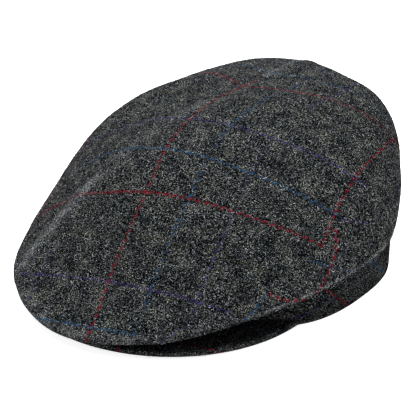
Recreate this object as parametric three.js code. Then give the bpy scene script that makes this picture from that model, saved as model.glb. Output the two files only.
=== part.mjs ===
// Flat cap in checked tweed, lying on its head opening.
// Millimetres, +Z up. The peak points to -Y, and +X is the wearer's left.
import * as THREE from "three";

const clothThickness = 2; // tweed with its backing
const pieceGap = 0.3; // air between neighbouring pieces
const foldRadius = 2.5; // outside radius where the crown turns under
const apex = new THREE.Vector2(0, 34); // the crown's highest point in plan, behind the middle
const crownHeight = 98;

// Every table has a row for equal steps of angle from the front (0) to the back (180), and serves
// both sides.

// Where the crown turns under: its distance from the middle and its height.
const foldRows = [
  { angle: 0, reach: 138, rise: 11 },
  { angle: 22.5, reach: 132, rise: 16 },
  { angle: 45, reach: 118.5, rise: 21 },
  { angle: 67.5, reach: 112, rise: 26 },
  { angle: 90, reach: 113, rise: 32 },
  { angle: 112.5, reach: 111, rise: 33.5 },
  { angle: 135, reach: 116, rise: 46.5 },
  { angle: 157.5, reach: 133, rise: 53.5 },
  { angle: 180, reach: 136, rise: 55.5 },
];

// Handles of the curve from the highest point down to the fold, as shares of its width and height.
const domeRows = [
  { angle: 0, topPull: 0.6, foldPull: 0.29, foldLift: 0.31 },
  { angle: 45, topPull: 0.52, foldPull: 0.2, foldLift: 0.39 },
  { angle: 90, topPull: 0.53, foldPull: 0.15, foldLift: 0.53 },
  { angle: 135, topPull: 0.58, foldPull: 0.05, foldLift: 0.64 },
  { angle: 180, topPull: 0.71, foldPull: 0.1, foldLift: 0.82 },
];

// Under the fold: how far the cloth runs back in to the band, the height of the band's top edge,
// and how far the edge of the head opening lies inside the fold.
const bandRows = [
  { angle: 0, ledge: 44, top: 10.5, inset: 46 },
  { angle: 22.5, ledge: 37, top: 12, inset: 39.5 },
  { angle: 45, ledge: 22, top: 15.5, inset: 24 },
  { angle: 67.5, ledge: 11, top: 19, inset: 9.5 },
  { angle: 90, ledge: 6.5, top: 23, inset: 9 },
  { angle: 112.5, ledge: 3.5, top: 30.5, inset: 3 },
  { angle: 135, ledge: 5, top: 41, inset: 11 },
  { angle: 157.5, ledge: 7, top: 48.5, inset: 24 },
  { angle: 180, ledge: 8, top: 51, inset: 31 },
];

// The seam between the top and the side panels, as a share of the curve from top to fold.
const seamRows = [
  { angle: 0, share: 0.98 },
  { angle: 22.5, share: 0.985 },
  { angle: 45, share: 0.943 },
  { angle: 67.5, share: 0.852 },
  { angle: 90, share: 0.73 },
  { angle: 112.5, share: 0.8 },
  { angle: 135, share: 0.93 },
  { angle: 157.5, share: 0.96 },
  { angle: 180, share: 0.96 },
];

const sidePanelStart = 20; // angle at which the side panels begin beside the peak
const dart = { width: 2.5, depth: 1, from: 0.45 }; // pinched seam at the back of the top panel
const rightPress = { angle: -52, spread: 30, depth: 7 }; // the far side lies a little pressed in

// A raised crease in the top panel, right of the middle, from high on the crown to the front fold.
const crease = {
  from: new THREE.Vector2(-33, -72),
  to: new THREE.Vector2(-49, -112),
  height: 2.5,
  width: 8,
};

// The peak is a stiff board under the front fold. Its front edge is part of an ellipse in plan,
// and it is arched so that its corners touch down.
const peak = {
  halfWidth: 92.5,
  halfLength: 96.4,
  centreY: -37.5,
  thickness: 3.4,
  arch: 2.5,
  archHalfWidth: 88,
  spread: 64,
};

const columnStep = 5; // degrees between sections
const dartColumns = [-2.5, -1, 0, 1, 2.5]; // extra sections either side of the back
const rowCounts = { top: 9, side: 4, curl: 5, under: 2, band: 3, peak: 5 };

// A column's value at an angle, on a smooth curve through the rows, mirrored at front and back.
function valueAt(rows, column, angle) {
  const last = rows.length - 1;
  const place = Math.abs(THREE.MathUtils.euclideanModulo(angle + 180, 360) - 180) / (180 / last);
  const row = Math.min(Math.floor(place), last - 1);
  const t = place - row;
  const mirrored = (i) => (i < 0 ? -i : i > last ? 2 * last - i : i);
  const [a, b, c, d] = [row - 1, row, row + 1, row + 2].map((i) => rows[mirrored(i)][column]);
  const square = (2 * a - 5 * b + 4 * c - d) * t ** 2;
  const cube = (3 * b - a - 3 * c + d) * t ** 3;
  return 0.5 * (2 * b + (c - a) * t + square + cube);
}

// The vertical plane from the highest point out through the fold. In it, x is the distance from
// the highest point and y the height.
function sectionAt(angle) {
  const turn = THREE.MathUtils.degToRad(angle);
  const press = rightPress.depth * Math.exp(-(((angle - rightPress.angle) / rightPress.spread) ** 2));
  const reach = valueAt(foldRows, "reach", angle) - press;
  const rise = valueAt(foldRows, "rise", angle);
  const out = new THREE.Vector2(reach * Math.sin(turn), -reach * Math.cos(turn)).sub(apex);
  const width = out.length();
  out.divideScalar(width);

  const drop = crownHeight - rise;
  const dome = new THREE.CubicBezierCurve(
    new THREE.Vector2(0, crownHeight),
    new THREE.Vector2(width * valueAt(domeRows, "topPull", angle), crownHeight),
    new THREE.Vector2(
      width * (1 - valueAt(domeRows, "foldPull", angle)),
      rise + drop * valueAt(domeRows, "foldLift", angle),
    ),
    new THREE.Vector2(width, rise),
  );

  const inward = normalInto(dome.getTangent(1));
  const curlCentre = new THREE.Vector2(width, rise).addScaledVector(inward, foldRadius);
  const ledge = valueAt(bandRows, "ledge", angle);
  const bandTop = valueAt(bandRows, "top", angle);
  const underEnd = new THREE.Vector2(width - ledge - clothThickness, bandTop + pieceGap);
  const slope = Math.atan2(
    underEnd.y - (curlCentre.y - foldRadius),
    curlCentre.x - underEnd.x,
  );
  return {
    out,
    width,
    dome,
    curlCentre,
    underEnd,
    ledge,
    bandTop,
    curlFrom: Math.atan2(-inward.y, -inward.x),
    curlTo: -Math.PI / 2 - slope,
    inset: valueAt(bandRows, "inset", angle) - press,
    seam: Math.min(valueAt(seamRows, "share", angle), 1),
  };
}

// The normal that points into the cap from a curve that runs outwards and down.
function normalInto(tangent) {
  return new THREE.Vector2(tangent.y, -tangent.x);
}

// Outer and inner face of the cloth at three stretches of a section.
function domeAt(section, share) {
  const outer = section.dome.getPoint(share);
  const inward = normalInto(section.dome.getTangent(share));
  const plan = apex.clone().addScaledVector(section.out, outer.x);
  const depth = dartDepth(plan, share) - creaseHeight(plan, share);
  outer.addScaledVector(inward, depth);
  return { outer, inner: outer.clone().addScaledVector(inward, clothThickness) };
}

function dartDepth(plan, share) {
  if (plan.y < apex.y || share < dart.from) return 0;
  const along = (share - dart.from) / (1 - dart.from);
  return dart.depth * along * Math.exp(-((plan.x / dart.width) ** 2));
}

function creaseHeight(plan, share) {
  const line = crease.to.clone().sub(crease.from);
  const offset = plan.clone().sub(crease.from);
  const along = offset.dot(line) / line.lengthSq();
  const beside = Math.abs(offset.cross(line)) / line.length();
  const fade = THREE.MathUtils.smoothstep(along, -0.4, 0.3) * (1 - share ** 6);
  return crease.height * fade * Math.exp(-((beside / crease.width) ** 2));
}

function curlAt(section, share) {
  const turn = THREE.MathUtils.lerp(section.curlFrom, section.curlTo, share);
  const away = new THREE.Vector2(Math.cos(turn), Math.sin(turn));
  const at = (radius) => section.curlCentre.clone().addScaledVector(away, radius);
  return { outer: at(foldRadius), inner: at(foldRadius - clothThickness) };
}

function underAt(section, share) {
  const start = curlAt(section, 1);
  const through = start.inner.clone().sub(start.outer);
  const outer = start.outer.clone().lerp(section.underEnd, share);
  return { outer, inner: outer.clone().add(through) };
}

// Distance of the band's outer face from the highest point, at a height.
function bandFaceAt(section, height) {
  const rim = section.width - section.inset;
  return rim + ((section.inset - section.ledge) * height) / section.bandTop;
}

function placed(section, point) {
  const plan = apex.clone().addScaledVector(section.out, point.x);
  return new THREE.Vector3(plan.x, plan.y, point.y);
}

// Equal shares from one value to another, with the first left out.
function stepsTo(from, to, count) {
  return Array.from({ length: count }, (_, i) => from + ((to - from) * (i + 1)) / count);
}

// A closed solid from columns of outer and inner points: both faces, and a strip along each edge.
// Columns may differ in length, and points that share a place are one vertex.
function sheetGeometry(columns, isRing) {
  const outer = [];
  const inner = [];
  const found = new Map();
  const vertexOf = (point) => {
    const key = point.outer.toArray().map((v) => v.toFixed(4)).join(" ");
    if (!found.has(key)) {
      found.set(key, outer.length);
      outer.push(point.outer);
      inner.push(point.inner);
    }
    return found.get(key);
  };

  const faces = [];
  const addFace = (a, b, c) => {
    if (a !== b && b !== c && c !== a) faces.push([a, b, c]);
  };
  const grid = columns.map((column) => column.map(vertexOf));
  const strips = isRing ? grid.length : grid.length - 1;
  for (let i = 0; i < strips; i++) {
    const here = grid[i];
    const next = grid[(i + 1) % grid.length];
    for (let j = 0; j + 1 < Math.min(here.length, next.length); j++) {
      addFace(here[j], here[j + 1], next[j + 1]);
      addFace(here[j], next[j + 1], next[j]);
    }
  }

  const count = outer.length;
  const used = new Set(faces.flatMap(([a, b, c]) => [`${a} ${b}`, `${b} ${c}`, `${c} ${a}`]));
  const index = [];
  for (const [a, b, c] of faces) {
    index.push(a, b, c, a + count, c + count, b + count);
    for (const [from, to] of [[a, b], [b, c], [c, a]]) {
      if (used.has(`${to} ${from}`)) continue;
      index.push(to, from, from + count, to, from + count, to + count);
    }
  }
  const geometry = new THREE.BufferGeometry().setFromPoints([...outer, ...inner]);
  geometry.setIndex(index);
  geometry.computeVertexNormals();
  return geometry;
}

function columnAngles(from, to) {
  const angles = [];
  for (let angle = from; angle < to; angle += columnStep) angles.push(angle);
  angles.push(to);
  return angles;
}

function pairAt(section, stretch, share) {
  const { outer, inner } = stretch(section, share);
  return { outer: placed(section, outer), inner: placed(section, inner) };
}

// Curl and under-layer, which end every column that reaches the fold.
function turnedUnder(section) {
  return [
    ...stepsTo(0, 1, rowCounts.curl).map((share) => pairAt(section, curlAt, share)),
    ...stepsTo(0, 1, rowCounts.under).map((share) => pairAt(section, underAt, share)),
  ];
}

// The top panel runs to the seam, and in front, between the side panels, round the fold.
function topPanel() {
  const angles = new Set([...columnAngles(-180, 175), ...dartColumns.map((a) => 180 + a)]);
  const ordered = [...angles].filter((angle) => angle !== -180).sort((a, b) => a - b);
  const columns = ordered.map((angle) => {
    const section = sectionAt(angle > 180 ? angle - 360 : angle);
    const seamShare = section.seam - pieceGap / 2 / section.width;
    const isFront = Math.abs(angle) <= sidePanelStart;
    const shares = [0, ...stepsTo(0, seamShare, rowCounts.top), ...(isFront ? [1] : [])];
    const column = shares.map((share) => pairAt(section, domeAt, share));
    return isFront ? [...column, ...turnedUnder(section)] : column;
  });
  return sheetGeometry(columns, true);
}

// A side panel runs from the seam over the fold, from beside the peak to the middle of the back.
function sidePanel(side) {
  const middle = sectionAt(180);
  const endGap = THREE.MathUtils.radToDeg(pieceGap / 2 / middle.width);
  const startGap = THREE.MathUtils.radToDeg(pieceGap / middle.width);
  const angles = columnAngles(sidePanelStart + startGap, 180 - endGap);
  const ordered = side > 0 ? angles : angles.map((angle) => -angle).reverse();
  const columns = ordered.map((angle) => {
    const section = sectionAt(angle);
    const from = section.seam + pieceGap / 2 / section.width;
    const shares = [from, ...stepsTo(from, 1, rowCounts.side)];
    return [...shares.map((share) => pairAt(section, domeAt, share)), ...turnedUnder(section)];
  });
  return sheetGeometry(columns, false);
}

// The band stands on the head opening's edge, and the turned-under cloth lies on its top edge.
function band() {
  const columns = columnAngles(-180, 175).map((angle) => {
    const section = sectionAt(angle);
    return [0, ...stepsTo(0, 1, rowCounts.band)].map((share) => {
      const height = section.bandTop * (1 - share);
      const face = bandFaceAt(section, height);
      const outer = placed(section, new THREE.Vector2(face, height));
      const inner = placed(section, new THREE.Vector2(face - clothThickness, height));
      return { outer, inner };
    });
  });
  return sheetGeometry(columns, true);
}

// Distance of the peak's front edge from the highest point: where the section meets the ellipse.
function peakEdgeAt(section) {
  const back = (peak.centreY - apex.y) / peak.halfLength ** 2;
  const a = (section.out.x / peak.halfWidth) ** 2 + (section.out.y / peak.halfLength) ** 2;
  const b = section.out.y * back;
  const c = (peak.centreY - apex.y) * back - 1;
  return (b + Math.sqrt(b ** 2 - a * c)) / a;
}

// The peak fills the space between the band's front and an arc in front of it.
function peakBoard() {
  const columns = columnAngles(-peak.spread, peak.spread).map((angle) => {
    const section = sectionAt(angle);
    const arc = peakEdgeAt(section);
    return [0, ...stepsTo(0, 1, rowCounts.peak)].map((share) => {
      const pointAt = (lift) => {
        const band = bandFaceAt(section, lift) + pieceGap;
        return new THREE.Vector2(THREE.MathUtils.lerp(band, arc, share), lift);
      };
      const planX = apex.x + section.out.x * pointAt(0).x;
      const arch = peak.arch * Math.max(0, 1 - (planX / peak.archHalfWidth) ** 2);
      return {
        outer: placed(section, pointAt(arch + peak.thickness)),
        inner: placed(section, pointAt(arch)),
      };
    });
  });
  return sheetGeometry(columns, false);
}

function tweed(color) {
  return new THREE.MeshStandardMaterial({ color, roughness: 0.95, metalness: 0 });
}

function named(name, geometry, material) {
  const mesh = new THREE.Mesh(geometry, material);
  mesh.name = name;
  return mesh;
}

const cap = new THREE.Group();
cap.name = "flat_cap";
cap.add(
  named("top_panel", topPanel(), tweed(0x3a3c3c)),
  named("side_panel_left", sidePanel(1), tweed(0x363838)),
  named("side_panel_right", sidePanel(-1), tweed(0x363838)),
  named("band", band(), tweed(0x333535)),
  named("peak", peakBoard(), tweed(0x303131)),
);

export default cap;
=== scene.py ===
from functools import partialmethod
from math import cos, pi, radians, sin, tan

import bpy
import numpy as np
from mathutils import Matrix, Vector, noise
from mathutils.bvhtree import BVHTree
from mathutils.geometry import barycentric_transform


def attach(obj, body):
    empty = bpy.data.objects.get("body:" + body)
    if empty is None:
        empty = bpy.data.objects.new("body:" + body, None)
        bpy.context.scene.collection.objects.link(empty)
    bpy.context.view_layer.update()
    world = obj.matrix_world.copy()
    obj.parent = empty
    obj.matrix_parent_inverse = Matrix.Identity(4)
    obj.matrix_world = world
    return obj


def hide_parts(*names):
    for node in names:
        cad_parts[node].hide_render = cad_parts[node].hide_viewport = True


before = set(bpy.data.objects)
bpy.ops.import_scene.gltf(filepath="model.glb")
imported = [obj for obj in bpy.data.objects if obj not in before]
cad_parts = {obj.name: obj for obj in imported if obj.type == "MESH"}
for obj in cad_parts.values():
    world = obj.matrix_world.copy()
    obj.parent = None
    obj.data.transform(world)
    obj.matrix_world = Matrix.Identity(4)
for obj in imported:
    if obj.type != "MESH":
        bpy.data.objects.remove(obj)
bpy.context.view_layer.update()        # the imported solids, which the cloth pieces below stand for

mm = 0.001
mergeDistance = 2e-5  # metres
smoothUpTo = radians(50)  # edges that bend more stay sharp

# Lengths in mm and angles in degrees, as on the solids. Angle 0 is the front and 180 the back.
crown = {
    "apexY": 34,  # the highest point, behind the middle
    "height": 98,
    "foldRadius": 2.5,  # where the cloth turns under in front
    "sideFoldRadius": 1.4,  # and at the sides, where the fold is pressed flatter
    "cloth": 1.3,  # thickness of the tweed
    "solidWall": 2,  # and of the solids' walls
    "gap": 0.3,  # air between the solids
    "flatFold": (25, 50),  # angles between which the fold goes from round to flat
    # every 22.5 degrees
    "reach": (138, 132, 118.5, 112, 113, 111, 116, 133, 136),
    "rise": (11, 16, 21, 26, 32, 33.5, 46.5, 53.5, 55.5),
    "ledge": (44, 37, 22, 11, 6.5, 3.5, 5, 7, 8),
    "bandTop": (10.5, 12, 15.5, 19, 23, 30.5, 41, 48.5, 51),
    "inset": (46, 39.5, 24, 9.5, 9, 3, 11, 24, 31),
    "seam": (0.98, 0.985, 0.943, 0.852, 0.73, 0.8, 0.93, 0.96, 0.96),
    "seamMost": 0.987,
    # every 45 degrees
    "topPull": (0.6, 0.52, 0.53, 0.58, 0.71),
    "foldPull": (0.29, 0.2, 0.15, 0.05, 0.1),
    "foldLift": (0.31, 0.39, 0.53, 0.64, 0.82),
    "press": {"angle": -52, "spread": 30, "depth": 7},  # the wearer's right lies pressed in
    "sideStart": 20,  # the side panels begin beside the peak
}


def ease(start, end, value):
    t = np.clip((value - start) / (end - start), 0, 1)
    return t * t * (3 - 2 * t)


def bell(value, width, middle=0):
    return np.exp(-(((value - middle) / width) ** 2))


# Any angle as one from -180 to 180
def wrapped(angle):
    return (np.asarray(angle, float) + 180) % 360 - 180


# The length along each row of points, from its first one
def rowLengths(points):
    steps = np.linalg.norm(np.diff(points, axis=1), axis=-1)
    return np.concatenate([np.zeros((len(points), 1)), np.cumsum(steps, axis=1)], axis=1)


# One column of the crown's table at any angle, smooth and mirrored at both ends
def columnAt(name, angle):
    rows = np.array(crown[name], float)
    last = len(rows) - 1
    place = np.abs(wrapped(angle)) / 180 * last
    row = np.clip(np.floor(place).astype(int), 0, last - 1)
    t = place - row
    near = [row + k for k in (-1, 0, 1, 2)]
    a, b, c, d = (rows[np.where(k < 0, -k, np.where(k > last, 2 * last - k, k))] for k in near)
    square = (2 * a - 5 * b + 4 * c - d) * t**2
    return 0.5 * (2 * b + (c - a) * t + square + (3 * b - a - 3 * c + d) * t**3)


# The upright plane from the highest point out, at each angle
def sectionAt(angle):
    angle = wrapped(angle)
    turn = np.radians(angle)
    press = crown["press"]
    pressed = press["depth"] * bell(angle, press["spread"], press["angle"])
    reach = columnAt("reach", angle) - pressed
    plan = np.stack([reach * np.sin(turn), -reach * np.cos(turn) - crown["apexY"]], -1)
    width = np.linalg.norm(plan, axis=-1)
    section = {name: columnAt(name, angle) for name in ("rise", "ledge", "bandTop", "inset")}
    section["inset"] = section["inset"] - pressed
    return {"out": plan / width[..., None], "width": width, **section}


def seamAt(angle):
    return np.minimum(columnAt("seam", angle), crown["seamMost"])


def placed(section, across, height):
    x = section["out"][..., 0] * across
    y = crown["apexY"] + section["out"][..., 1] * across
    return np.stack([x, y, height + 0 * x], -1)


# The crown's outer face. Station 0 to 1 is the dome, 1 to 2 the curl at the fold
# and 2 to 3 the turned-under cloth.
def crownAt(angle, station):
    section = sectionAt(angle)
    width, rise, height = section["width"], section["rise"], crown["height"]
    drop = height - rise
    handles = (
        (0 * width, height + 0 * width),
        (width * columnAt("topPull", angle), height + 0 * width),
        (width * (1 - columnAt("foldPull", angle)), rise + drop * columnAt("foldLift", angle)),
        (width, rise),
    )
    share = np.clip(station, 0, 1)
    weights = ((1 - share) ** 3, 3 * share * (1 - share) ** 2, 3 * share**2 * (1 - share), share**3)
    across, level = (sum(w * h[k] for w, h in zip(weights, handles)) for k in (0, 1))

    endOut, endDown = width - handles[2][0], handles[2][1] - rise
    length = np.hypot(endOut, endDown)
    inwardOut, inwardUp = -endDown / length, -endOut / length
    pressedFlat = ease(*crown["flatFold"], np.abs(wrapped(angle)))
    radius = crown["foldRadius"] + (crown["sideFoldRadius"] - crown["foldRadius"]) * pressedFlat
    centreOut, centreUp = width + inwardOut * radius, rise + inwardUp * radius
    underOut = width - section["ledge"] - crown["solidWall"]
    underUp = section["bandTop"] + crown["gap"]
    slope = np.arctan2(underUp - (centreUp - radius), centreOut - underOut)
    start = np.arctan2(-inwardUp, -inwardOut)
    curl = np.clip(station - 1, 0, 1)
    turn = start + (-pi / 2 - slope - start) * curl
    curlOut, curlUp = centreOut + radius * np.cos(turn), centreUp + radius * np.sin(turn)
    under = np.clip(station - 2, 0, 1)
    curlOut = curlOut + (underOut - curlOut) * under
    curlUp = curlUp + (underUp - curlUp) * under
    onDome = station <= 1
    return placed(section, np.where(onDome, across, curlOut), np.where(onDome, level, curlUp))


# Distance of the band's outer face from the highest point, at a height
def bandFace(section, height):
    rim = section["width"] - section["inset"]
    return rim + (section["inset"] - section["ledge"]) * height / section["bandTop"]


# The check: a red line at 0, blue at 1, purple at 2, faint olive at 3, and so on both ways.
# Cloth places count these steps along the weft and the warp.
cloth = {
    "step": 26.1,  # mm from one line to the next
    "weftStep": (25.5, 22.9),  # along the weft of the top, on the wearer's left and right
    "stride": 2.0,  # mm by which a thread is followed
    "halfColumns": 80,
    "pastMiddle": 3,  # columns of each half beyond the middle
    "rows": (-4, 8.61, 0.2),  # first weft line, last one and the step between rows
    "hang": 30,  # mm to a station past the fold
    "hangTo": 2.35,
    # weft lines of the top: how far in front of the highest point each crosses the middle,
    # how far aside, and its turn towards the back on the wearer's left and right
    "weftLines": (
        # line, ahead, aside, turnLeft, turnRight
        (-6, 268, 32, 17, 12),
        (-3, 190.5, 20, 18.5, 16),
        (-2, 164.5, 13.5, 15, 18),
        (-1, 137.5, 10, 15.5, 20),
        (0, 111, 7, 16, 22),
        (1, 82, 1, 12.5, 14),
        (2, 55.5, -2, 16.5, 11),
        (3, 31.5, -1, 25, -6),
        (4, 8, 2, 33.5, -22),
        (5, -22, 2, 29, -14),
        (8, -103, 0, 24, 4),
        (8.6, -119.5, 0, 24, 10),
    ),
    "dartFrom": 4.55,  # behind this line the seam at the back has taken a wedge in
    "wedgeTaken": 0.6,  # share of it
    "leftCloth": 0.5,  # a thread this far off the crown has left the cloth
    "offCloth": 1.5,  # and so has a point of the piece
    "innerShift": 0.7,  # the inner wall's cloth, as a share of the thickness
}


def smoothAt(rows, column, place):
    known = np.array([row[0] for row in rows], float)
    values = np.array([row[column] for row in rows], float)
    slopes = np.gradient(values, known)
    k = int(np.clip(np.searchsorted(known, place) - 1, 0, len(known) - 2))
    gap = known[k + 1] - known[k]
    t = (place - known[k]) / gap
    near = (1 + 2 * t) * (1 - t) ** 2 * values[k] + t * t * (3 - 2 * t) * values[k + 1]
    return float(near + gap * (t * (1 - t) ** 2 * slopes[k] - t * t * (1 - t) * slopes[k + 1]))


def gridFaces(columns, rows):
    return [
        (i * rows + j, i * rows + j + 1, (i + 1) * rows + j + 1, (i + 1) * rows + j)
        for i in range(columns - 1)
        for j in range(rows - 1)
    ]


# The top cloth is laid on the crown as if it hung straight down past the fold
def skirtAt(angle, station):
    angle = angle + np.zeros_like(station)
    edge = crownAt(angle, np.full_like(station, 1)) - crownAt(angle, np.full_like(station, 0.99))
    edge /= np.linalg.norm(edge, axis=-1, keepdims=True)
    hanging = np.maximum(station - 1, 0) * cloth["hang"]
    return crownAt(angle, np.minimum(station, 1)) + edge * hanging[..., None]


skirt = {
    "angles": np.linspace(-180, 180, 241),
    "stations": np.concatenate([np.linspace(0.004, 1, 40), np.linspace(1.1, 2.4, 14)]),
    "tongue": 22,  # up to this angle the top's cloth goes on under the fold
    "spare": 0.08,  # and elsewhere this far past its seam
}
pastSeam = columnAt("seam", skirt["angles"]) + skirt["spare"]
topEnds = np.where(np.abs(skirt["angles"]) <= skirt["tongue"], 3, pastSeam)


def crownTree():
    angles, stations = np.meshgrid(skirt["angles"], skirt["stations"], indexing="ij")
    points = skirtAt(angles, stations).reshape(-1, 3)
    return BVHTree.FromPolygons(points.tolist(), gridFaces(*angles.shape))


# Points along a thread laid straight over the crown, with the mm gone at each
# and whether it is still on the cloth
def threadOver(tree, point, normal, heading, count):
    least = cloth["stride"] / 10
    found, gone, onCloth = [], 0.0, True
    for _ in range(count):
        found.append((point, gone, onCloth))
        heading = (heading - normal * heading.dot(normal)).normalized()
        ahead = point + heading * cloth["stride"]
        nextPoint, nextNormal, index, _ = tree.find_nearest(ahead)
        aside = ahead - nextPoint
        aside -= nextNormal * aside.dot(nextNormal)
        column, row = divmod(index, len(skirt["stations"]) - 1)
        inside = skirt["stations"][row] < topEnds[column]
        onCloth = onCloth and aside.length < cloth["leftCloth"] and inside
        if onCloth:
            normal = nextNormal
        else:
            nextPoint = ahead  # past the edge it runs straight on
        stretch = nextPoint - point
        gone += max(stretch.length, least)
        if stretch.length > least:
            heading = stretch.normalized()
        point = nextPoint
    return found


# Lays one half of the top cloth: weft threads start at the middle
# and run on over the crown without bending
def layHalf(tree, side):
    stations = np.linspace(0, cloth["hangTo"], 200)
    front, back = skirtAt(0, stations), skirtAt(180, stations)
    middle = np.concatenate([front[::-1], back[1:]])
    lengths = rowLengths(middle[None])[0]
    behind = lengths - lengths[len(stations) - 1]
    rows, rowStep, extra = np.arange(*cloth["rows"]), cloth["rows"][2], cloth["pastMiddle"]
    points, places, kept = [], [], []
    taken = 0.0
    for line in rows:
        ahead, aside, turnLeft, turnRight = (smoothAt(cloth["weftLines"], k, line) for k in (1, 2, 3, 4))
        start = Vector([np.interp(-ahead, behind, middle[:, k]) for k in range(3)])
        start.x += aside
        point, normal, _, _ = tree.find_nearest(start)
        turn = radians(turnLeft if side > 0 else turnRight)
        step = cloth["weftStep"][0 if side > 0 else 1]
        heading = Vector((cos(turn), sin(turn), 0)) * side
        if line > cloth["dartFrom"]:
            wedge = tan(radians(turnLeft - turnRight) / 2)
            taken += rowStep * wedge * cloth["wedgeTaken"]
        past = threadOver(tree, point, normal, -heading, extra + 1)[:0:-1]
        onward = threadOver(tree, point, normal, heading, cloth["halfColumns"])
        points += [place for place, _, _ in past + onward]
        places += [Vector((side * (taken - gone / step), line, 0)) for _, gone, _ in past]
        places += [Vector((side * (taken + gone / step), line, 0)) for _, gone, _ in onward]
        kept += [onCloth for _, _, onCloth in past + onward]
    faces = gridFaces(len(rows), extra + cloth["halfColumns"])
    faces = [face for face in faces if all(kept[k] for k in face)]
    corners = [(a, b, c) for a, b, c, d in faces] + [(a, c, d) for a, b, c, d in faces]
    laid = BVHTree.FromPolygons(points, corners)
    return {"tree": laid, "points": points, "places": places, "faces": corners}


def clothPlace(lay, point):
    near, _, index, off = lay["tree"].find_nearest(point)
    start = point if off > cloth["offCloth"] else near
    known, places = ([lay[name][k] for k in lay["faces"][index]] for name in ("points", "places"))
    return barycentric_transform(start, *known, *places)


# The side panels' cloth, by mm along the fold from the wearer's left side (w, to the back)
# and mm up from it (v)
sideCloth = {
    "weft": 3.03,  # the lines' numbers where w and v are 0
    "warp": 1.38, "weftTurn": 57.5, "warpTurn": 27,
    "weftBow": -0.18,  # steps of bow 100 mm along the fold
    "warpBow": 0.65,
    "bowMost": 160,  # mm along the fold where the bow ends
    "weftLean": 0.24,  # steps of lean 20 mm up
    "leanFrom": -10, "leanTo": 40,
    # the fold draws a thread along: steps, place along the fold, and reach along and up
    "drawn": (0.2, -52, 11, 7),
}


def sideClothPlace(w, v, side):
    step = cloth["step"]
    a, b = radians(sideCloth["weftTurn"]), radians(sideCloth["warpTurn"])
    bow = (np.clip(w, -sideCloth["bowMost"], sideCloth["bowMost"]) / 100) ** 2
    weft = sideCloth["weft"] - (w * cos(a) - v * sin(a)) / step - sideCloth["weftBow"] * bow
    weft -= sideCloth["weftLean"] * (np.clip(v, sideCloth["leanFrom"], sideCloth["leanTo"]) / 20) ** 2
    warp = sideCloth["warp"] + (w * sin(b) + v * cos(b)) / step - sideCloth["warpBow"] * bow
    steps, place, reachAlong, reachUp = sideCloth["drawn"]
    warp -= steps * bell(w, reachAlong, place) * bell(v, reachUp)
    return (warp, weft) if side > 0 else (weft, warp)  # the two sides are cut as a pair from one face


# Soft unevenness in mm: long waves all over, which the sewn edges hold flat
relief = {
    "waves": 0.7, "waveLength": 46, "ripples": 0.16, "rippleLength": 13,
    "seeds": {"crown": 3.1, "band": 8.7, "peak": 5.3},
}


def reliefAt(points, name):
    seed = relief["seeds"][name]
    long, short = relief["waveLength"], relief["rippleLength"]
    heights = np.empty(points[..., 0].size)
    for k, point in enumerate(points.reshape(-1, 3)):
        p = Vector(point)
        heights[k] = relief["waves"] * noise.noise(p / long + Vector((seed, 0, 0)))
        heights[k] += relief["ripples"] * noise.noise(p / short + Vector((0, seed, 0)))
    return heights.reshape(points.shape[:-1])


# The crown's own folds in mm, measured along its outward normal
folds = {
    "crease": {
        "from": (-33, -72), "to": (-49, -112), "height": 2.2, "width": 8,
        "crest": 0.3, "crestWidth": 3,
        "starts": (-0.4, 0.3),  # it rises between these shares of the way
    },
    # on the outer side of the crease, behind the front
    "hollow": {"beside": -14, "depth": 1.0, "width": 9, "starts": (-0.9, 0), "ends": (0.75, 0.2)},
    # the seam at the back, and the slack cloth to the wearer's left of it
    "dart": {
        "height": 1.0, "width": 2.4,
        "starts": (0, 25),  # mm behind the highest point
        "aside": 2.3,
        "shifts": ((-5, 35, 110), (2.7, 105, 136)),  # how far aside it goes, and between where
        "slack": 1.6, "slackAt": 24, "slackWidth": 14, "slackStarts": (25, 60),
    },
}


def fromCrease(points):
    start, end = np.array(folds["crease"]["from"]), np.array(folds["crease"]["to"])
    run = end - start
    length = np.hypot(*run)
    apart = points[..., :2] - start
    return (apart @ run) / length**2, (apart[..., 1] * run[0] - apart[..., 0] * run[1]) / length


# How far points lie aside from the seam at the back of the top
def fromDart(points):
    line = folds["dart"]["aside"]
    for shift, start, end in folds["dart"]["shifts"]:
        line = line + shift * ease(start, end, points[..., 1])
    return points[..., 0] - line


def foldsAt(points, stations):
    crease, hollow, dart = folds["crease"], folds["hollow"], folds["dart"]
    along, beside = fromCrease(points)
    behind = points[..., 1] - crown["apexY"]
    free = 1 - np.clip(stations, 0, 1) ** 6  # the fold holds the cloth flat
    height = crease["height"] * bell(beside, crease["width"])
    height += crease["crest"] * bell(beside, crease["crestWidth"])
    rise = height * ease(*crease["starts"], along) * free
    dip = hollow["depth"] * ease(*hollow["starts"], along) * ease(*hollow["ends"], along)
    rise -= dip * bell(beside, hollow["width"], hollow["beside"])
    seam = ease(*dart["starts"], behind) * free
    rise += dart["height"] * seam * bell(fromDart(points), dart["width"])
    slack = bell(points[..., 0], dart["slackWidth"], dart["slackAt"])
    return rise - dart["slack"] * ease(*dart["slackStarts"], behind) * slack * free


# Moves a grid's points out along its normals: columns are angles, rows are stations
def raised(points, heights):
    across, down = np.gradient(points, axis=0), np.gradient(points, axis=1)
    normals = np.cross(across, down)
    size = np.linalg.norm(normals, axis=-1, keepdims=True)
    normals = normals / np.maximum(size, 1e-9)
    normals[size[..., 0] < 1e-6] = (0, 0, 1)
    return points + normals * heights[..., None]


def selectOnly(*pieces):
    bpy.ops.object.select_all(action="DESELECT")
    for piece in pieces:
        piece.select_set(True)
    bpy.context.view_layer.objects.active = pieces[0]


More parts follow.
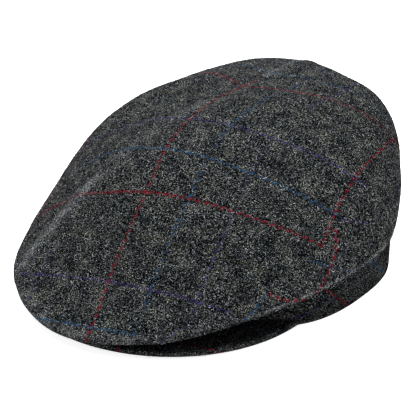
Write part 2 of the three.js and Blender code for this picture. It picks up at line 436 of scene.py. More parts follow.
# A grid whose points are then moved by code, as cloth is shaped by hand
def shapedGrid(name, points):
    columns, rows = points.shape[:2]
    bpy.ops.object.select_all(action="DESELECT")
    bpy.ops.mesh.primitive_grid_add(
        x_subdivisions=columns - 1, y_subdivisions=rows - 1, size=1, location=(0, 0, 0)
    )
    piece = bpy.context.object
    piece.name = piece.data.name = name
    flat = np.empty(len(piece.data.vertices) * 3)
    piece.data.vertices.foreach_get("co", flat)
    flat = flat.reshape(-1, 3)
    column = np.rint((flat[:, 0] + 0.5) * (columns - 1)).astype(int)
    row = np.rint((flat[:, 1] + 0.5) * (rows - 1)).astype(int)
    piece.data.vertices.foreach_set("co", (points[column, row] * mm).ravel())
    piece.data.update()
    return piece, column, row


def cornerVertices(piece):
    index = np.empty(len(piece.data.loops), int)
    piece.data.loops.foreach_get("vertex_index", index)
    return index


def setCloth(piece, corners):
    layer = piece.data.uv_layers.active
    layer.name = "cloth"
    layer.data.foreach_set("uv", np.asarray(corners, float).ravel())


def setMask(piece, name, values):
    mask = piece.data.attributes.new(name, "FLOAT", "POINT")
    mask.data.foreach_set("value", np.asarray(values, float))


# The cloth's place and the wear and painted highlight of a piece, from the grid that it was shaped by
def dress(piece, column, row, places, wearAndHighlight):
    index = cornerVertices(piece)
    setCloth(piece, np.stack([place[column, row] for place in places], 1)[index])
    setMask(piece, "wearAndHighlight", wearAndHighlight[column, row])


# How much wear and painted highlight lie beside a ridge: most, the ridge's width and where it lies
def rubbedAndHighlit(rubAndHighlight, distance):
    most, width, middle = rubAndHighlight
    return most * bell(distance, width, middle)


# Opens a piece in edit mode and merges its pole and meeting columns
def openMerged(piece):
    selectOnly(piece)
    bpy.ops.object.mode_set(mode="EDIT")
    bpy.ops.mesh.select_all(action="SELECT")
    bpy.ops.mesh.remove_doubles(threshold=mergeDistance)


# Gives the cloth its thickness inwards and smooths it
def finishCloth(piece, thickness):
    openMerged(piece)
    bpy.ops.mesh.dissolve_degenerate(threshold=mergeDistance / 20)
    bpy.ops.object.mode_set(mode="OBJECT")
    outer = len(piece.data.vertices)
    wall = piece.modifiers.new("Cloth wall", "SOLIDIFY")
    wall.thickness = thickness * mm
    wall.offset = -1
    bpy.ops.object.modifier_apply(modifier=wall.name)
    layer = piece.data.uv_layers.active.data
    corners = np.empty(len(layer) * 2)
    layer.foreach_get("uv", corners)
    corners = corners.reshape(-1, 2)
    # the inner wall's threads lie aside, so that none is drawn out at the edges
    corners[cornerVertices(piece) >= outer] += thickness / cloth["step"] * cloth["innerShift"]
    layer.foreach_set("uv", corners.ravel())
    bpy.ops.object.shade_smooth_by_angle(angle=smoothUpTo)


def keepAboveFloor(piece):
    for vertex in piece.data.vertices:
        vertex.co.z = max(vertex.co.z, 0)


def joined(name, parts):
    selectOnly(*parts)
    bpy.ops.object.join()
    parts[0].name = parts[0].data.name = name
    return parts[0]


# How each sewn edge rolls down into its seam, in mm
seamRoll = {"depth": 0.16, "width": 0.9, "swell": 0.1, "swellAt": 4.5, "swellWidth": 2.5}


def seamDip(distance):
    swell = seamRoll["swell"] * bell(distance, seamRoll["swellWidth"], seamRoll["swellAt"])
    return swell - seamRoll["depth"] * bell(distance, seamRoll["width"])


topPanel = {
    "columns": 361, "rows": 84,
    "crowding": 0.9,  # the rows lie closer towards the seam
    "tongueColumns": 41,  # the tongue is the part that runs on under the front fold
    "curlRows": 9, "underRows": 9,
    # ridges lightened for wear and as painted highlight: most, width and place in mm beside each
    "creaseRubsAndHighlights": ((0.55, 3.2, 0), (0.4, 6.5, -3)),
    "creaseRubbedAndHighlit": (-0.25, 0.15, 1.5, 1),  # between which shares of its way
    "upperRubAndHighlight": (0.28, 5, 0),
    "upperRubbedAndHighlit": (-3.2, -1, 0.1, -0.3), "dartRub": (0.55, 1.4, 0),
    "foldRubAndHighlight": (0.3, 0.5, 1.2),  # in stations
}


# A mask that comes in between the first two values and goes between the last two
def inAndOut(limits, value):
    return ease(*limits[:2], value) * ease(*limits[2:], value)


def shapeTop():
    angles = np.linspace(180, -180, topPanel["columns"])
    shares = np.linspace(0, 1, topPanel["rows"]) ** topPanel["crowding"]
    a = np.repeat(angles[:, None], len(shares), 1)
    stations = shares[None, :] * seamAt(a)
    main = crownAt(a, stations)
    fromSeam = rowLengths(main)
    fromSeam = fromSeam[:, -1:] - fromSeam
    sewn = ease(crown["sideStart"] - 1, crown["sideStart"] + 3, np.abs(a))
    heights = foldsAt(main, stations) + sewn * seamDip(fromSeam) + reliefAt(main, "crown")
    heights[:, 0] = heights[0, 0]
    main = raised(main, heights)
    main[-1] = main[0]
    along, beside = fromCrease(main)
    # the crease ridge is lightened for wear and as a painted highlight where it catches the light
    wearAndHighlight = sum(rubbedAndHighlit(rubAndHighlight, beside) for rubAndHighlight in topPanel["creaseRubsAndHighlights"])
    wearAndHighlight = wearAndHighlight * inAndOut(topPanel["creaseRubbedAndHighlit"], along)
    wearAndHighlight += rubbedAndHighlit(topPanel["upperRubAndHighlight"], beside) * inAndOut(topPanel["upperRubbedAndHighlit"], along)
    behind = (main[..., 1] > crown["apexY"]) * ease(0.02, 0.12, stations)
    wearAndHighlight = np.maximum(wearAndHighlight, behind * rubbedAndHighlit(topPanel["dartRub"], fromDart(main)))
    pale = ease(-3, -9, beside) * ease(-2.5, -1, along)  # where the blue and purple lines fade
    return angles, main, wearAndHighlight, pale


# The tongue, the places of its points on the hanging cloth, and the wear and painted highlight along its
# fold
def shapeTongue(angles, main):
    side = crown["sideStart"]
    tongueAngles = np.linspace(side, -side, topPanel["tongueColumns"])
    curl, under = np.linspace(1, 2, topPanel["curlRows"]), np.linspace(2, 3, topPanel["underRows"] + 1)
    rest = np.concatenate([curl, under[1:]])
    t = np.repeat(tongueAngles[:, None], len(rest) + 1, 1)
    stations = np.concatenate([seamAt(t[:, :1]), np.repeat(rest[None], len(t), 0)], 1)
    tongue = crownAt(t, stations)
    nearest = [np.argmin(np.abs(angles - angle)) for angle in tongueAngles]
    tongue[:, 0] = main[nearest, -1]
    pastFold = rowLengths(tongue)
    pastFold = np.maximum(pastFold - pastFold[:, 1:2], 0)
    hanging = skirtAt(t, 1 + pastFold / cloth["hang"])
    hanging[:, 0] = tongue[:, 0]
    return tongue, hanging, rubbedAndHighlit(topPanel["foldRubAndHighlight"], stations)


# Each face corner's place in the cloth, from where its vertex lies on the hanging cloth
def clothCorners(piece, verts, lays):
    index = cornerVertices(piece)
    extra = cloth["pastMiddle"]
    middle = lays[1]["points"][extra :: extra + cloth["halfColumns"]]
    middleX, middleY = np.array([(point.x, point.y) for point in middle]).T
    places = {}
    corners = np.empty((len(index), 2))
    for face in piece.data.polygons:
        points = verts[list(face.vertices)]
        centre = points.mean(0)
        side = 1 if centre[0] > np.interp(centre[1], middleY, middleX) else -1
        for loop in face.loop_indices:
            key = (index[loop], side)
            if key not in places:
                place = clothPlace(lays[side], Vector(verts[index[loop]]))
                places[key] = (place.x, place.y)
            corners[loop] = places[key]
    return corners


def buildTopPanel():
    tree = crownTree()
    lays = {side: layHalf(tree, side) for side in (1, -1)}
    angles, main, wearAndHighlight, pale = shapeTop()
    tongue, hanging, foldWearAndHighlight = shapeTongue(angles, main)
    sheets = []
    for name, points, laid, masks in (
        ("topPanelCloth", main, main, {"wearAndHighlight": wearAndHighlight, "pale": pale}),
        ("topPanelFront", tongue, hanging, {"wearAndHighlight": foldWearAndHighlight}),
    ):
        sheet, column, row = shapedGrid(name, points)
        setCloth(sheet, clothCorners(sheet, laid[column, row], lays))
        for mask, values in masks.items():
            setMask(sheet, mask, values[column, row])
        sheets.append(sheet)
    piece = joined("topPanelCloth", sheets)
    finishCloth(piece, crown["cloth"])
    return piece


print("Laying the top cloth")
top = buildTopPanel()


sidePanel = {
    "columns": 241, "domeRows": 34, "curlRows": 11, "underRows": 12,
    "tuck": 0.4,  # the upper edge runs this far in under the top panel
    "tuckDepth": 0.6,
    "endReach": 40,  # degrees from the seam at the back over which its dip fades
    "foldRubAndHighlight": (0.9, 0.8, 0.3),
    "foldRubbedAndHighlit": (40, 65),  # the fold is rubbed and painted highlit from these angles on
    "frontRubAndHighlight": 0.25,  # share of it nearer the front
}


def buildSidePanel(name, side):
    angles = np.linspace(180, crown["sideStart"], sidePanel["columns"])
    if side < 0:
        angles = -angles[::-1]
    dome = np.linspace(0, 1, sidePanel["domeRows"]) - 1
    curl = np.linspace(0, 1, sidePanel["curlRows"])[1:]
    under = np.linspace(1, 2, sidePanel["underRows"])[1:]
    shares = np.concatenate([dome, curl, under])[None]
    a = np.repeat(angles[:, None], shares.size, 1)
    seam = seamAt(a) - sidePanel["tuck"] / sectionAt(a)["width"]
    stations = np.where(shares < 0, 1 + shares * (1 - seam), 1 + shares)
    points = crownAt(a, stations)
    lengths = rowLengths(points)
    foldRow = len(dome) - 1
    up = lengths[:, foldRow : foldRow + 1] - lengths
    along = rowLengths(points[None, :, foldRow])[0]
    w = np.interp(90 * side, angles[::-1], along[::-1]) - along
    w = np.repeat(w[:, None] * side, shares.size, 1)
    fromBack = np.abs(angles - side * 180)[:, None]
    endDistance = np.abs(along - along[0 if side > 0 else -1])[:, None]
    heights = foldsAt(points, stations) * (stations < 1) + seamDip(lengths) * (stations < 1.2)
    heights += seamDip(endDistance) * bell(fromBack, sidePanel["endReach"])
    heights += reliefAt(points, "crown") * (1 - ease(2, 2.6, stations))
    heights[:, 0] -= sidePanel["tuckDepth"]
    points = raised(points, heights)
    front = sidePanel["frontRubAndHighlight"]
    # the fold edge is lightened for wear and as a painted highlight, weaker towards the front
    wearAndHighlight = rubbedAndHighlit(sidePanel["foldRubAndHighlight"], up) * (stations < 1.5)
    wearAndHighlight = wearAndHighlight * (front + (1 - front) * ease(*sidePanel["foldRubbedAndHighlit"], np.abs(a)))
    piece, column, row = shapedGrid(name, points)
    dress(piece, column, row, sideClothPlace(w, up, side), wearAndHighlight)
    finishCloth(piece, crown["cloth"])
    return piece


print("Side panels")
leftSide = buildSidePanel("sidePanelLeftCloth", 1)
rightSide = buildSidePanel("sidePanelRightCloth", -1)


strip = {
    "columns": 361, "rows": 30, "thickness": 1.9,
    "tuck": 1.3,  # the upper edge runs this far up into the turned-under cloth
    "waves": 0.6,  # share of the relief
    "turn": 45,
    "blueAt": (11, 8),  # mm along from the wearer's left side and down to a blue warp line
    "purple": (0.16, 6),  # slope of a purple weft line and its place down
    "rimRub": (0.25, 2, 0),
}


# A strip round the head opening, its upper edge sewn up into the turned-under cloth
def buildBand():
    angles = np.linspace(180, -180, strip["columns"])
    share = np.linspace(0, 1, strip["rows"])
    a = np.repeat(angles[:, None], len(share), 1)
    section = sectionAt(a)
    height = (section["bandTop"] + strip["tuck"]) * (1 - share[None])
    points = placed(section, bandFace(section, height), height)
    heights = reliefAt(points, "band") * strip["waves"] * np.sin(pi * share) ** 0.5
    points = raised(points, heights)
    points[-1] = points[0]
    along = rowLengths(points[None, :, -1])[0]
    w = np.interp(90, angles[::-1], along[::-1]) - along
    w = np.repeat(w[:, None], len(share), 1)
    down = section["bandTop"] - height
    turn = radians(strip["turn"])
    blueW, blueDown = strip["blueAt"]
    slope, purpleDown = strip["purple"]
    across = (w - blueW) * sin(turn) - (down - blueDown) * cos(turn)
    places = 2 + (slope * w + down - purpleDown) / cloth["step"], 1 + across / cloth["step"]
    piece, column, row = shapedGrid("bandCloth", points)
    dress(piece, column, row, places, rubbedAndHighlit(strip["rimRub"], height))
    finishCloth(piece, strip["thickness"])
    keepAboveFloor(piece)
    return piece


print("Band")
band = buildBand()


brim = {
    "columns": 121, "rows": 26, "edgeRows": 7, "halfWidth": 92.5,
    "halfLength": 96.4, "centreY": -37.5,
    "spread": 64,  # degrees to each side of the front
    "thickness": 3.4, "arch": 2.5, "archHalfWidth": 88,
    "bandHeight": 3,  # where it meets the band
    "leastWidth": 1.2,  # of its ends
    "waves": 0.35,  # share of the relief
    "redAt": (35, -128),  # where a red warp line meets the edge
    "warpThere": -0.62,  # steps from a red weft line to the same place
    "turn": 21, "edgeRub": (0.15, 1.6, 0),
}


# The peak's board and cloth as one closed form: its top, round edge and underside
def buildPeak():
    angles = np.linspace(brim["spread"], -brim["spread"], brim["columns"])
    section = sectionAt(angles)
    out = section["out"]
    rayY = crown["apexY"] - brim["centreY"]
    aa = (out[:, 0] / brim["halfWidth"]) ** 2 + (out[:, 1] / brim["halfLength"]) ** 2
    bb = 2 * out[:, 1] * rayY / brim["halfLength"] ** 2
    cc = (rayY / brim["halfLength"]) ** 2 - 1
    outer = (-bb + np.sqrt(bb * bb - 4 * aa * cc)) / (2 * aa)
    inner = bandFace(section, brim["bandHeight"])
    half = brim["thickness"] / 2
    outer = np.maximum(outer, inner + brim["leastWidth"])
    flat = outer - half
    share = np.linspace(0, 1, brim["rows"])[None]
    turn = np.radians(np.linspace(90, -90, brim["edgeRows"])[1:-1])
    roundOut = flat[:, None] + half * np.cos(turn)[None]
    roundUp = np.repeat((half * np.sin(turn))[None], len(flat), 0)
    topOut = inner[:, None] + (flat - inner)[:, None] * share
    topUp = np.full_like(topOut, half)
    across = np.concatenate([topOut, roundOut, topOut[:, ::-1], topOut[:, :1]], 1)
    level = np.concatenate([topUp, roundUp, -topUp, topUp[:, :1]], 1)
    x = out[:, :1] * across
    y = crown["apexY"] + out[:, 1:] * across
    arch = brim["arch"] * np.maximum(0, 1 - (x / brim["archHalfWidth"]) ** 2)
    points = np.stack([x, y, arch + half + level], -1)
    heights = reliefAt(points, "peak") * brim["waves"]
    points[..., 2] += heights * (level >= half * 0.999) * (across > inner[:, None] + 2)
    piece, column, row = shapedGrid("peakCloth", points)
    turn = radians(brim["turn"])
    unrolled = inner[:, None] + rowLengths(points)
    flatX, flatY = out[:, :1] * unrolled, crown["apexY"] + out[:, 1:] * unrolled
    dx, dy = flatX - brim["redAt"][0], flatY - brim["redAt"][1]
    weft = (dx * cos(turn) + dy * sin(turn)) / cloth["step"]
    warp = (dy * cos(turn) - dx * sin(turn)) / cloth["step"] + brim["warpThere"]
    dress(piece, column, row, (weft, warp), rubbedAndHighlit(brim["edgeRub"], across - outer[:, None]))
    openMerged(piece)
    bpy.ops.mesh.select_all(action="DESELECT")
    bpy.ops.mesh.select_non_manifold()
    bpy.ops.mesh.edge_face_add()
    bpy.ops.mesh.select_all(action="SELECT")
    bpy.ops.mesh.normals_make_consistent(inside=False)
    bpy.ops.object.mode_set(mode="OBJECT")
    bpy.ops.object.shade_smooth_by_angle(angle=smoothUpTo)
    keepAboveFloor(piece)
    return piece


print("Peak")
peak = buildPeak()


# Short wool fibres that stand off the cloth, as thin curled strips
fibres = {
    "width": 0.17, "length": (0.8, 2.8), "lift": (0.05, 0.9), "points": 6,
    "curl": 0.8,  # how far a fibre bends over its length, in radians
    "scatter": 0.55,  # mm from the middle of its face to a root
    "tilt": 0.35,  # how far the strips lean out of the cloth's plane
    "clear": 0.03,  # mm between a root and the cloth
}


def newObject(name, data):
    made = bpy.data.objects.new(name, data)
    bpy.context.collection.objects.link(made)
    return made


def faceValues(mesh, name, size):
    values = np.empty(len(mesh.polygons) * size)
    mesh.polygons.foreach_get(name, values)
    return values.reshape(-1, size)


def fibreLayer(name, surface, count, seed, keep, fibres=fibres):
    rng = np.random.default_rng(seed)
    centres, normals = (faceValues(surface.data, value, 3) for value in ("center", "normal"))
    centres = centres / mm
    weight = faceValues(surface.data, "area", 1)[:, 0] * keep(centres, normals)
    chosen = rng.choice(len(weight), count, p=weight / weight.sum())
    root = centres[chosen] + rng.normal(0, fibres["scatter"], (count, 3))
    normal = normals[chosen]
    root -= normal * ((root - centres[chosen]) * normal).sum(1, keepdims=True)
    heading = np.cross(normal, rng.normal(size=(count, 3)))
    heading /= np.linalg.norm(heading, axis=1, keepdims=True)
    length = rng.uniform(*fibres["length"], count) * rng.uniform(0.6, 1, count)
    lift = fibres["lift"][0] + (fibres["lift"][1] - fibres["lift"][0]) * rng.random(count) ** 2
    bend = rng.normal(0, fibres["curl"], count)
    steps = fibres["points"]
    side = np.cross(normal, heading)
    path = np.empty((count, steps, 3))
    place = root.copy()
    for k in range(steps):
        share = k / (steps - 1)
        turn = bend * (share - 0.2) * 1.5
        direction = heading * np.cos(turn)[:, None] + side * np.sin(turn)[:, None]
        arch = lift * np.sin(pi * min(1, share * 1.15 + 0.05))
        path[:, k] = place + normal * arch[:, None] + normal * fibres["clear"]
        place = place + direction * (length / (steps - 1))[:, None]
    path[..., 2] = np.maximum(path[..., 2], 0.1)
    along = np.gradient(path, axis=1)
    across = np.cross(along, normal[:, None] + rng.normal(0, fibres["tilt"], (count, 1, 3)))
    across /= np.maximum(np.linalg.norm(across, axis=2, keepdims=True), 1e-9)
    taper = (np.sin(np.linspace(0.5, 3, steps)) ** 0.5)[None, :, None] * fibres["width"] / 2
    taper = taper * rng.uniform(0.6, 1.3, (count, 1, 1))
    both = np.stack([path - across * taper, path + across * taper], 2).reshape(-1, 3) * mm
    base = np.arange(count)[:, None] * steps * 2 + np.arange(steps - 1)[None] * 2
    quads = np.stack([base, base + 1, base + 3, base + 2], -1).reshape(-1, 4)
    layer = bpy.data.meshes.new(name)
    layer.from_pydata(both.tolist(), [], quads.tolist())
    tone = layer.attributes.new("tone", "FLOAT", "POINT")
    tone.data.foreach_set("value", np.repeat(rng.random(count), steps * 2))
    piece = newObject(name, layer)
    selectOnly(piece)
    bpy.ops.object.shade_smooth()
    return piece


print("Wool fibres")
everywhere = lambda centres, normals: np.ones(len(centres))
outside = lambda centres, normals: (normals[:, 2] > -0.35) * (centres[:, 2] > 3)
parts = {
    "top_panel": (top, fibreLayer("topFuzz", top, 12000, 11, outside)),
    "side_panel_left": (leftSide, fibreLayer("sideLeftFuzz", leftSide, 3600, 12, outside)),
    "side_panel_right": (rightSide, fibreLayer("sideRightFuzz", rightSide, 3600, 13, outside)),
    "band": (band, fibreLayer("bandFuzz", band, 1500, 14, everywhere)),
    "peak": (peak, fibreLayer("peakFuzz", peak, 900, 15, everywhere)),
}

# A few long hairs have worked loose at the front fold
looseHair = {**fibres, "width": 0.2, "length": (7, 13), "lift": (0.6, 3.2), "points": 16, "curl": 2.6}
atFront = lambda centres, normals: np.linalg.norm(centres - (24, -131, 10), axis=1) < 9
parts["top_panel"] += (fibreLayer("looseHairs", top, 7, 21, atFront, looseHair),)


# The tweed: sizes are in steps of the check where nothing else is said
tweed = {
    "threads": 22,  # from one line of the check to the next
    "wobble": 0.022,  # how far the threads run out of line
    "ends": 0.45,  # height of a thread where it goes under, to 1 in its middle
    # shares of the wool's tone: along threads, by fibre, in specks, along diagonals and in clouds
    "spun": 0.06, "fine": 0.42, "speckle": 0.44, "wale": 0.08,
    "cloud": (0.61, 0.15),  # the clouds' own middle and their share
    # the wool's colour by its tone
    "tones": (
        (0.41, (0.0008, 0.0009, 0.001)),
        (0.465, (0.0022, 0.0024, 0.0026)),
        (0.52, (0.0092, 0.0097, 0.0103)),
        (0.565, (0.042, 0.0436, 0.0452)),
        (0.62, (0.2, 0.206, 0.211)),
    ),
    # single flecks are cooler or warmer, and so are the clouds
    "flecks": (
        (0.28, (0.75, 1.05, 1.25)),
        (0.4, (1, 1, 1)),
        (0.62, (1, 1, 1)),
        (0.74, (1.25, 1.18, 0.8)),
    ),
    "tints": ((0.35, (0.95, 1.0, 1.08)), (0.5, (1, 1.01, 1.01)), (0.65, (1.04, 1.03, 0.94))),
    # colour and strength of the red, blue, purple and olive lines
    "lines": (
        ((0.115, 0.006, 0.012), 1),
        ((0.01, 0.042, 0.095), 0.95),
        ((0.034, 0.02, 0.096), 0.7),
        ((0.03, 0.033, 0.012), 0.35),
    ),
    "hair": ((0.2, 0.207, 0.205, 1), 0.6),  # colour and strength
    # light grey laid on folds and ridges: partly wear, partly a painted highlight where they catch the
    # light
    "rubbedAndHighlit": ((0.33, 0.344, 0.354, 1), 0.7),
    "roughness": 0.92, "bumpMm": 0.32,
}


# The nodes of one tree, called n below
class Nodes:
    def __init__(self, tree):
        self.tree = tree

    # Sets a node's inputs to plain values or to what other nodes put out
    def feed(self, node, inputs):
        for name, value in inputs.items():
            if hasattr(value, "is_output"):
                self.tree.links.new(value, node.inputs[name])
            else:
                node.inputs[name].default_value = value
        return node

    def add(self, kind, inputs, **settings):
        node = self.tree.nodes.new("ShaderNode" + kind)
        for name, value in settings.items():
            setattr(node, name, value)
        return self.feed(node, inputs)

    def group(self, tree, inputs):
        return self.add("Group", inputs, node_tree=tree).outputs

    def calc(self, operation, *values, clamp=False):
        inputs = dict(enumerate(values))
        return self.add("Math", inputs, operation=operation, use_clamp=clamp).outputs[0]

    times = partialmethod(calc, "MULTIPLY")
    plus = partialmethod(calc, "ADD")
    minus = partialmethod(calc, "SUBTRACT")
    timesPlus = partialmethod(calc, "MULTIPLY_ADD")

    def vector(self, x, y, z=0.0):
        return self.add("CombineXYZ", {0: x, 1: y, 2: z}).outputs[0]

    def split(self, place):
        return self.add("SeparateXYZ", {0: place}).outputs[:2]

    def vectorCalc(self, operation, inputs):
        return self.add("VectorMath", inputs, operation=operation).outputs[0]

    def noise(self, place, scale=1.0, detail=0.0, distortion=0.0, output="Fac"):
        inputs = {"Vector": place, "Scale": scale, "Detail": detail, "Distortion": distortion}
        return self.add("TexNoise", inputs).outputs[output]

    def between(self, factor, low, high):
        return self.add("Mix", {0: factor, 2: low, 3: high}, data_type="FLOAT").outputs[0]

    def mixColour(self, factor, low, high, blend="MIX"):
        inputs = {0: factor, 6: low, 7: high}
        return self.add("Mix", inputs, data_type="RGBA", blend_type=blend).outputs[2]

    def smoothStep(self, value, low, high):
        inputs = {"Value": value, "From Min": low, "From Max": high}
        return self.add("MapRange", inputs, interpolation_type="SMOOTHSTEP").outputs["Result"]

    def attribute(self, name):
        return self.add("Attribute", {}, attribute_name=name).outputs["Fac"]

    def ramp(self, value, stops, interpolation="LINEAR"):
        node = self.add("ValToRGB", {0: value})
        node.color_ramp.interpolation = interpolation
        elements = node.color_ramp.elements
        while len(elements) < len(stops):
            elements.new(0.5)
        for element, (place, colour) in zip(elements, stops):
            element.position = place
            element.color = (*colour, 1)
        return node.outputs[0]


# A node group whose sockets are numbers, apart from a place in the cloth and a colour
def newGroup(name, inputs, outputs):
    group = bpy.data.node_groups.new(name, "ShaderNodeTree")
    kinds = {"Cloth": "NodeSocketVector", "Colour": "NodeSocketColor"}
    for way, sockets in (("INPUT", inputs), ("OUTPUT", outputs)):
        for socket in sockets:
            kind = kinds.get(socket, "NodeSocketFloat")
            made = group.interface.new_socket(socket, in_out=way, socket_type=kind)
            if way == "INPUT" and socket != "Cloth":
                made.default_value = inputs[socket]
    given, out = group.nodes.new("NodeGroupInput"), group.nodes.new("NodeGroupOutput")
    return Nodes(group), given.outputs, out


# Two over, two under: which thread lies on top, and how high it stands
def weaveGroup():
    outputs = ("Warp Over", "Height", "Along", "Across", "Thread")
    n, given, out = newGroup("twillWeave", {"Cloth": None, "Threads": tweed["threads"]}, outputs)
    wobble = n.noise(given["Cloth"], 14, 1, output="Color")
    reach = tweed["wobble"]
    middled = {0: wobble, 1: (reach, reach, 0), 2: (-reach / 2, -reach / 2, 0)}
    middled = n.vectorCalc("MULTIPLY_ADD", middled)
    moved = n.split(n.vectorCalc("ADD", {0: given["Cloth"], 1: middled}))
    weft, warp = (n.timesPlus(place, given["Threads"], 1.0) for place in moved)
    column, line = n.calc("FLOOR", weft), n.calc("FLOOR", warp)
    partX, partY = n.minus(weft, column), n.minus(warp, line)
    place = n.calc("FLOORED_MODULO", n.minus(column, line), 4.0)
    warpOver = n.calc("LESS_THAN", place, 1.5)
    warpPart = n.times(n.plus(n.minus(1.0, place), partY), 0.5)
    weftPart = n.times(n.plus(n.minus(place, 2.0), partX), 0.5)
    part = n.between(warpOver, weftPart, warpPart)
    across = n.between(warpOver, partY, partX)
    archAcross, archAlong = (n.calc("SINE", n.times(x, pi)) for x in (across, part))
    height = n.times(archAcross, n.timesPlus(archAlong, 1 - tweed["ends"], tweed["ends"]))
    found = {"Warp Over": warpOver, "Height": height, "Across": across}
    found["Along"] = n.between(warpOver, weft, warp)
    found["Thread"] = n.between(warpOver, n.plus(line, 500.5), column)
    n.feed(out, found)
    return n.tree


# Wool spun from black, grey and white fibres: its tone, and single light hairs over it
def heatherGroup():
    inputs = {"Cloth": None, "Along": 0, "Across": 0, "Thread": 0, "Step": cloth["step"]}
    n, given, out = newGroup("heatherWool", inputs, ("Tone", "Hairs", "Specks", "Cloud"))
    along, across, thread = (given[name] for name in ("Along", "Across", "Thread"))
    spun = n.noise(n.vector(n.times(along, 0.4), n.times(thread, 7.31)))
    beside = n.timesPlus(thread, 5.7, n.times(across, 2.2))
    fine = n.noise(n.vector(n.times(along, 0.8), beside))
    x, y = n.split(given["Cloth"])
    down, over = n.times(n.plus(x, y), 4.2), n.times(n.minus(x, y), 15.0)
    wale = n.noise(n.vector(down, over, 3.7), 1, 1)
    place = n.vectorCalc("SCALE", {0: given["Cloth"], "Scale": given["Step"]})  # in mm
    speckle = n.noise(place, 2.2)
    cloud = n.noise(place, 0.1, 1)
    tone = n.times(spun, tweed["spun"])
    for part, share in ((fine, "fine"), (speckle, "speckle"), (wale, "wale")):
        tone = n.timesPlus(part, tweed[share], tone)
    middle, share = tweed["cloud"]
    tone = n.timesPlus(n.minus(cloud, middle), share, tone)
    ridge = n.calc("ABSOLUTE", n.minus(n.noise(place, 0.42, 1, 2.2), 0.5))
    thin = n.minus(1.0, n.smoothStep(ridge, 0.006, 0.03))
    hairs = n.times(thin, n.smoothStep(n.noise(place, 0.8), 0.5, 0.6))
    specks = n.noise(place, 1.1)
    n.feed(out, {"Tone": tone, "Hairs": hairs, "Specks": specks, "Cloud": cloud})
    return n.tree


# The coloured lines: two threads of each colour, seen where they lie on top
def checkGroup():
    inputs = {"Cloth": None, "Warp Over": 0, "Threads": tweed["threads"], "Fibre": 0.5, "Fade": 0}
    n, given, out = newGroup("checkLines", inputs, ("Colour", "Mask"))
    warpOver = given["Warp Over"]
    found = []
    for place in n.split(given["Cloth"]):
        number = n.calc("ROUND", place)
        offset = n.calc("ABSOLUTE", n.times(n.minus(place, number), given["Threads"]))
        ragged = n.timesPlus(n.minus(given["Fibre"], 0.5), 1.1, offset)
        inLine = n.minus(1.0, n.smoothStep(ragged, 0.5, 0.85))
        which = n.timesPlus(n.calc("FLOORED_MODULO", number, 4.0), 0.25, 0.125)
        found.append((inLine, which))
    (warpLine, warpWhich), (weftLine, weftWhich) = found
    warpMask = n.times(warpLine, warpOver)
    weftMask = n.times(weftLine, n.minus(1.0, warpOver))
    which = n.between(warpOver, weftWhich, warpWhich)
    colours = [(k / 4, colour) for k, (colour, _) in enumerate(tweed["lines"])]
    strengths = [(k / 4, (strength,) * 3) for k, (_, strength) in enumerate(tweed["lines"])]
    # all but the red warp lines fade in places
    faded = n.smoothStep(n.noise(given["Cloth"], 1.3), 0.28, 0.62)
    faded = n.times(faded, n.minus(0.8, given["Fade"], clamp=True))
    isRed = n.calc("LESS_THAN", warpWhich, 0.2)
    warpMask = n.times(warpMask, n.between(isRed, faded, 1.0))
    mask = n.plus(warpMask, weftMask, clamp=True)
    mask = n.times(mask, n.ramp(which, strengths, "CONSTANT"))
    n.feed(out, {"Colour": n.ramp(which, colours, "CONSTANT"), "Mask": mask})
    return n.tree


def newMaterial(name, roughness, specular):
    material = bpy.data.materials.new(name)
    material.use_nodes = True
    n = Nodes(material.node_tree)
    shader = n.tree.nodes["Principled BSDF"]
    n.feed(shader, {"Roughness": roughness, "Specular IOR Level": specular})
    return material, n, shader


def tweedMaterial():
    material, n, shader = newMaterial("tweed", tweed["roughness"], 0.0)
    place = n.add("UVMap", {}, uv_map="cloth").outputs[0]
    woven = n.group(weaveGroup(), {"Cloth": place})
    threads = {name: woven[name] for name in ("Along", "Across", "Thread")}
    wool = n.group(heatherGroup(), {"Cloth": place, **threads})
    tone = wool["Tone"]
    marks = {"Warp Over": woven["Warp Over"], "Fibre": wool["Specks"], "Fade": n.attribute("pale")}
    lines = n.group(checkGroup(), {"Cloth": place, **marks})
    colour = n.ramp(tone, tweed["tones"])
    for value, stops in (("Specks", "flecks"), ("Cloud", "tints")):
        colour = n.mixColour(1.0, colour, n.ramp(wool[value], tweed[stops]), "MULTIPLY")
    # painted shade: the colour darkens where the threads dip under, in the hollows of the weave
    shaded = n.plus(woven["Height"], 0.3)
    colour = n.mixColour(1.0, colour, n.vector(shaded, shaded, shaded), "MULTIPLY")
    # lightens worn places, and paints a highlight along the fold edges and the crease ridge
    rubsAndHighlights = n.times(n.attribute("wearAndHighlight"), n.smoothStep(tone, 0.46, 0.58))
    colour = n.mixColour(n.times(rubsAndHighlights, tweed["rubbedAndHighlit"][1]), colour, tweed["rubbedAndHighlit"][0])
    lineMask = n.times(lines["Mask"], n.smoothStep(tone, 0.3, 0.5))
    colour = n.mixColour(lineMask, colour, lines["Colour"])
    colour = n.mixColour(n.times(wool["Hairs"], tweed["hair"][1]), colour, tweed["hair"][0])
    height = n.timesPlus(wool["Hairs"], 0.5, n.timesPlus(tone, 0.9, woven["Height"]))
    bump = {"Distance": tweed["bumpMm"] * mm, "Strength": 0.9, "Height": height}
    normal = n.add("Bump", bump).outputs[0]
    n.feed(shader, {"Base Color": colour, "Normal": normal})
    return material


# Loose fibres run from dark to nearly white
fibreTones = (
    (0.0, (0.01, 0.011, 0.012)),
    (0.4, (0.04, 0.042, 0.043)),
    (0.7, (0.16, 0.165, 0.167)),
    (1.0, (0.42, 0.428, 0.422)),
)


def fibreMaterial():
    material, n, shader = newMaterial("looseWool", 0.85, 0.2)
    n.feed(shader, {"Base Color": n.ramp(n.attribute("tone"), fibreTones)})
    return material


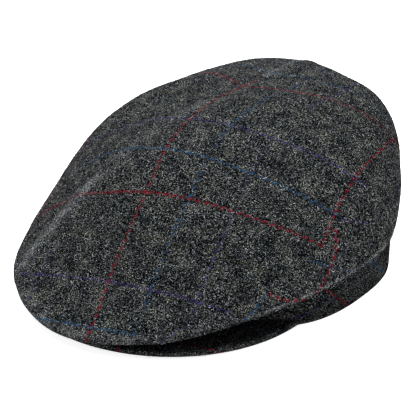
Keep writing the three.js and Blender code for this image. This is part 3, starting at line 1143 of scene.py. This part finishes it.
print("Materials")
tweedCloth = tweedMaterial()
looseWool = fibreMaterial()
for node, (piece, *fuzz) in parts.items():
    piece.data.materials.clear()
    piece.data.materials.append(tweedCloth)
    for each in fuzz:
        each.data.materials.append(looseWool)
    for each in (piece, *fuzz):
        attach(each, "root")
    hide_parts(node)


# The studio: a pale floor, a wide soft light above and a weaker one from the side
studio = {
    "floorSize": 7,
    "lights": (
        # name, place, aim, size, watts
        ("softboxAbove", (0, 0.15, 1.4), (0, 0, 0.03), 1.8, 55),
        ("softboxLeft", (-1.3, -0.5, 0.9), (0, 0, 0.03), 1.1, 2),
        ("softboxFront", (0.5, -1.5, 0.45), (0, -0.1, 0.01), 1.0, 1.4),
    ),
    "surround": 0.26, "paper": (0.88, 0.88, 0.88, 1),
    "glow": 0.85,  # it whitens the paper to the camera but doesn't light the cap
}


def buildStudio():
    bpy.ops.object.select_all(action="DESELECT")
    bpy.ops.mesh.primitive_plane_add(size=studio["floorSize"], location=(0, 0, 0))
    floor = bpy.context.object
    floor.name = "studioFloor"
    paper, n, shader = newMaterial("paleFloor", 0.95, 0.0)
    sight = n.add("LightPath", {}).outputs["Is Camera Ray"]
    glow = {"Emission Color": sight, "Emission Strength": studio["glow"]}
    n.feed(shader, {"Base Color": studio["paper"], **glow})
    floor.data.materials.append(paper)
    for name, place, aim, size, watts in studio["lights"]:
        lamp = bpy.data.lights.new(name, "AREA")
        lamp.shape, lamp.size, lamp.energy = "DISK", size, watts
        light = newObject(name, lamp)
        light.location = place
        light.rotation_euler = (Vector(aim) - Vector(place)).to_track_quat("-Z", "Y").to_euler()
    world = bpy.data.worlds.new("studioAir")
    world.use_nodes = True
    air = world.node_tree.nodes["Background"]
    Nodes(world.node_tree).feed(air, {"Color": (1, 1, 1, 1), "Strength": studio["surround"]})
    bpy.context.scene.world = world
    shown = bpy.context.scene.view_settings
    shown.view_transform, shown.look = "Standard", "None"


# The camera stands in front, to the wearer's left and above, as in the photograph
view = {
    "azimuth": 37.8, "elevation": 26.8, "distance": 0.627,
    "lens": 89.6, "target": (0.002, -0.009, 0.03),
}


def buildCamera():
    turn, lift = radians(view["azimuth"]), radians(view["elevation"])
    level = cos(lift)
    back = Vector((sin(turn) * level, -cos(turn) * level, sin(lift)))
    lens = bpy.data.cameras.new("camera")
    lens.lens, lens.sensor_width = view["lens"], 36
    lens.clip_start, lens.clip_end = 0.05, 20
    camera = newObject("camera", lens)
    camera.location = Vector(view["target"]) + back * view["distance"]
    camera.rotation_euler = (-back).to_track_quat("-Z", "Y").to_euler()
    bpy.context.scene.camera = camera


print("Studio and camera")
buildStudio()
buildCamera()
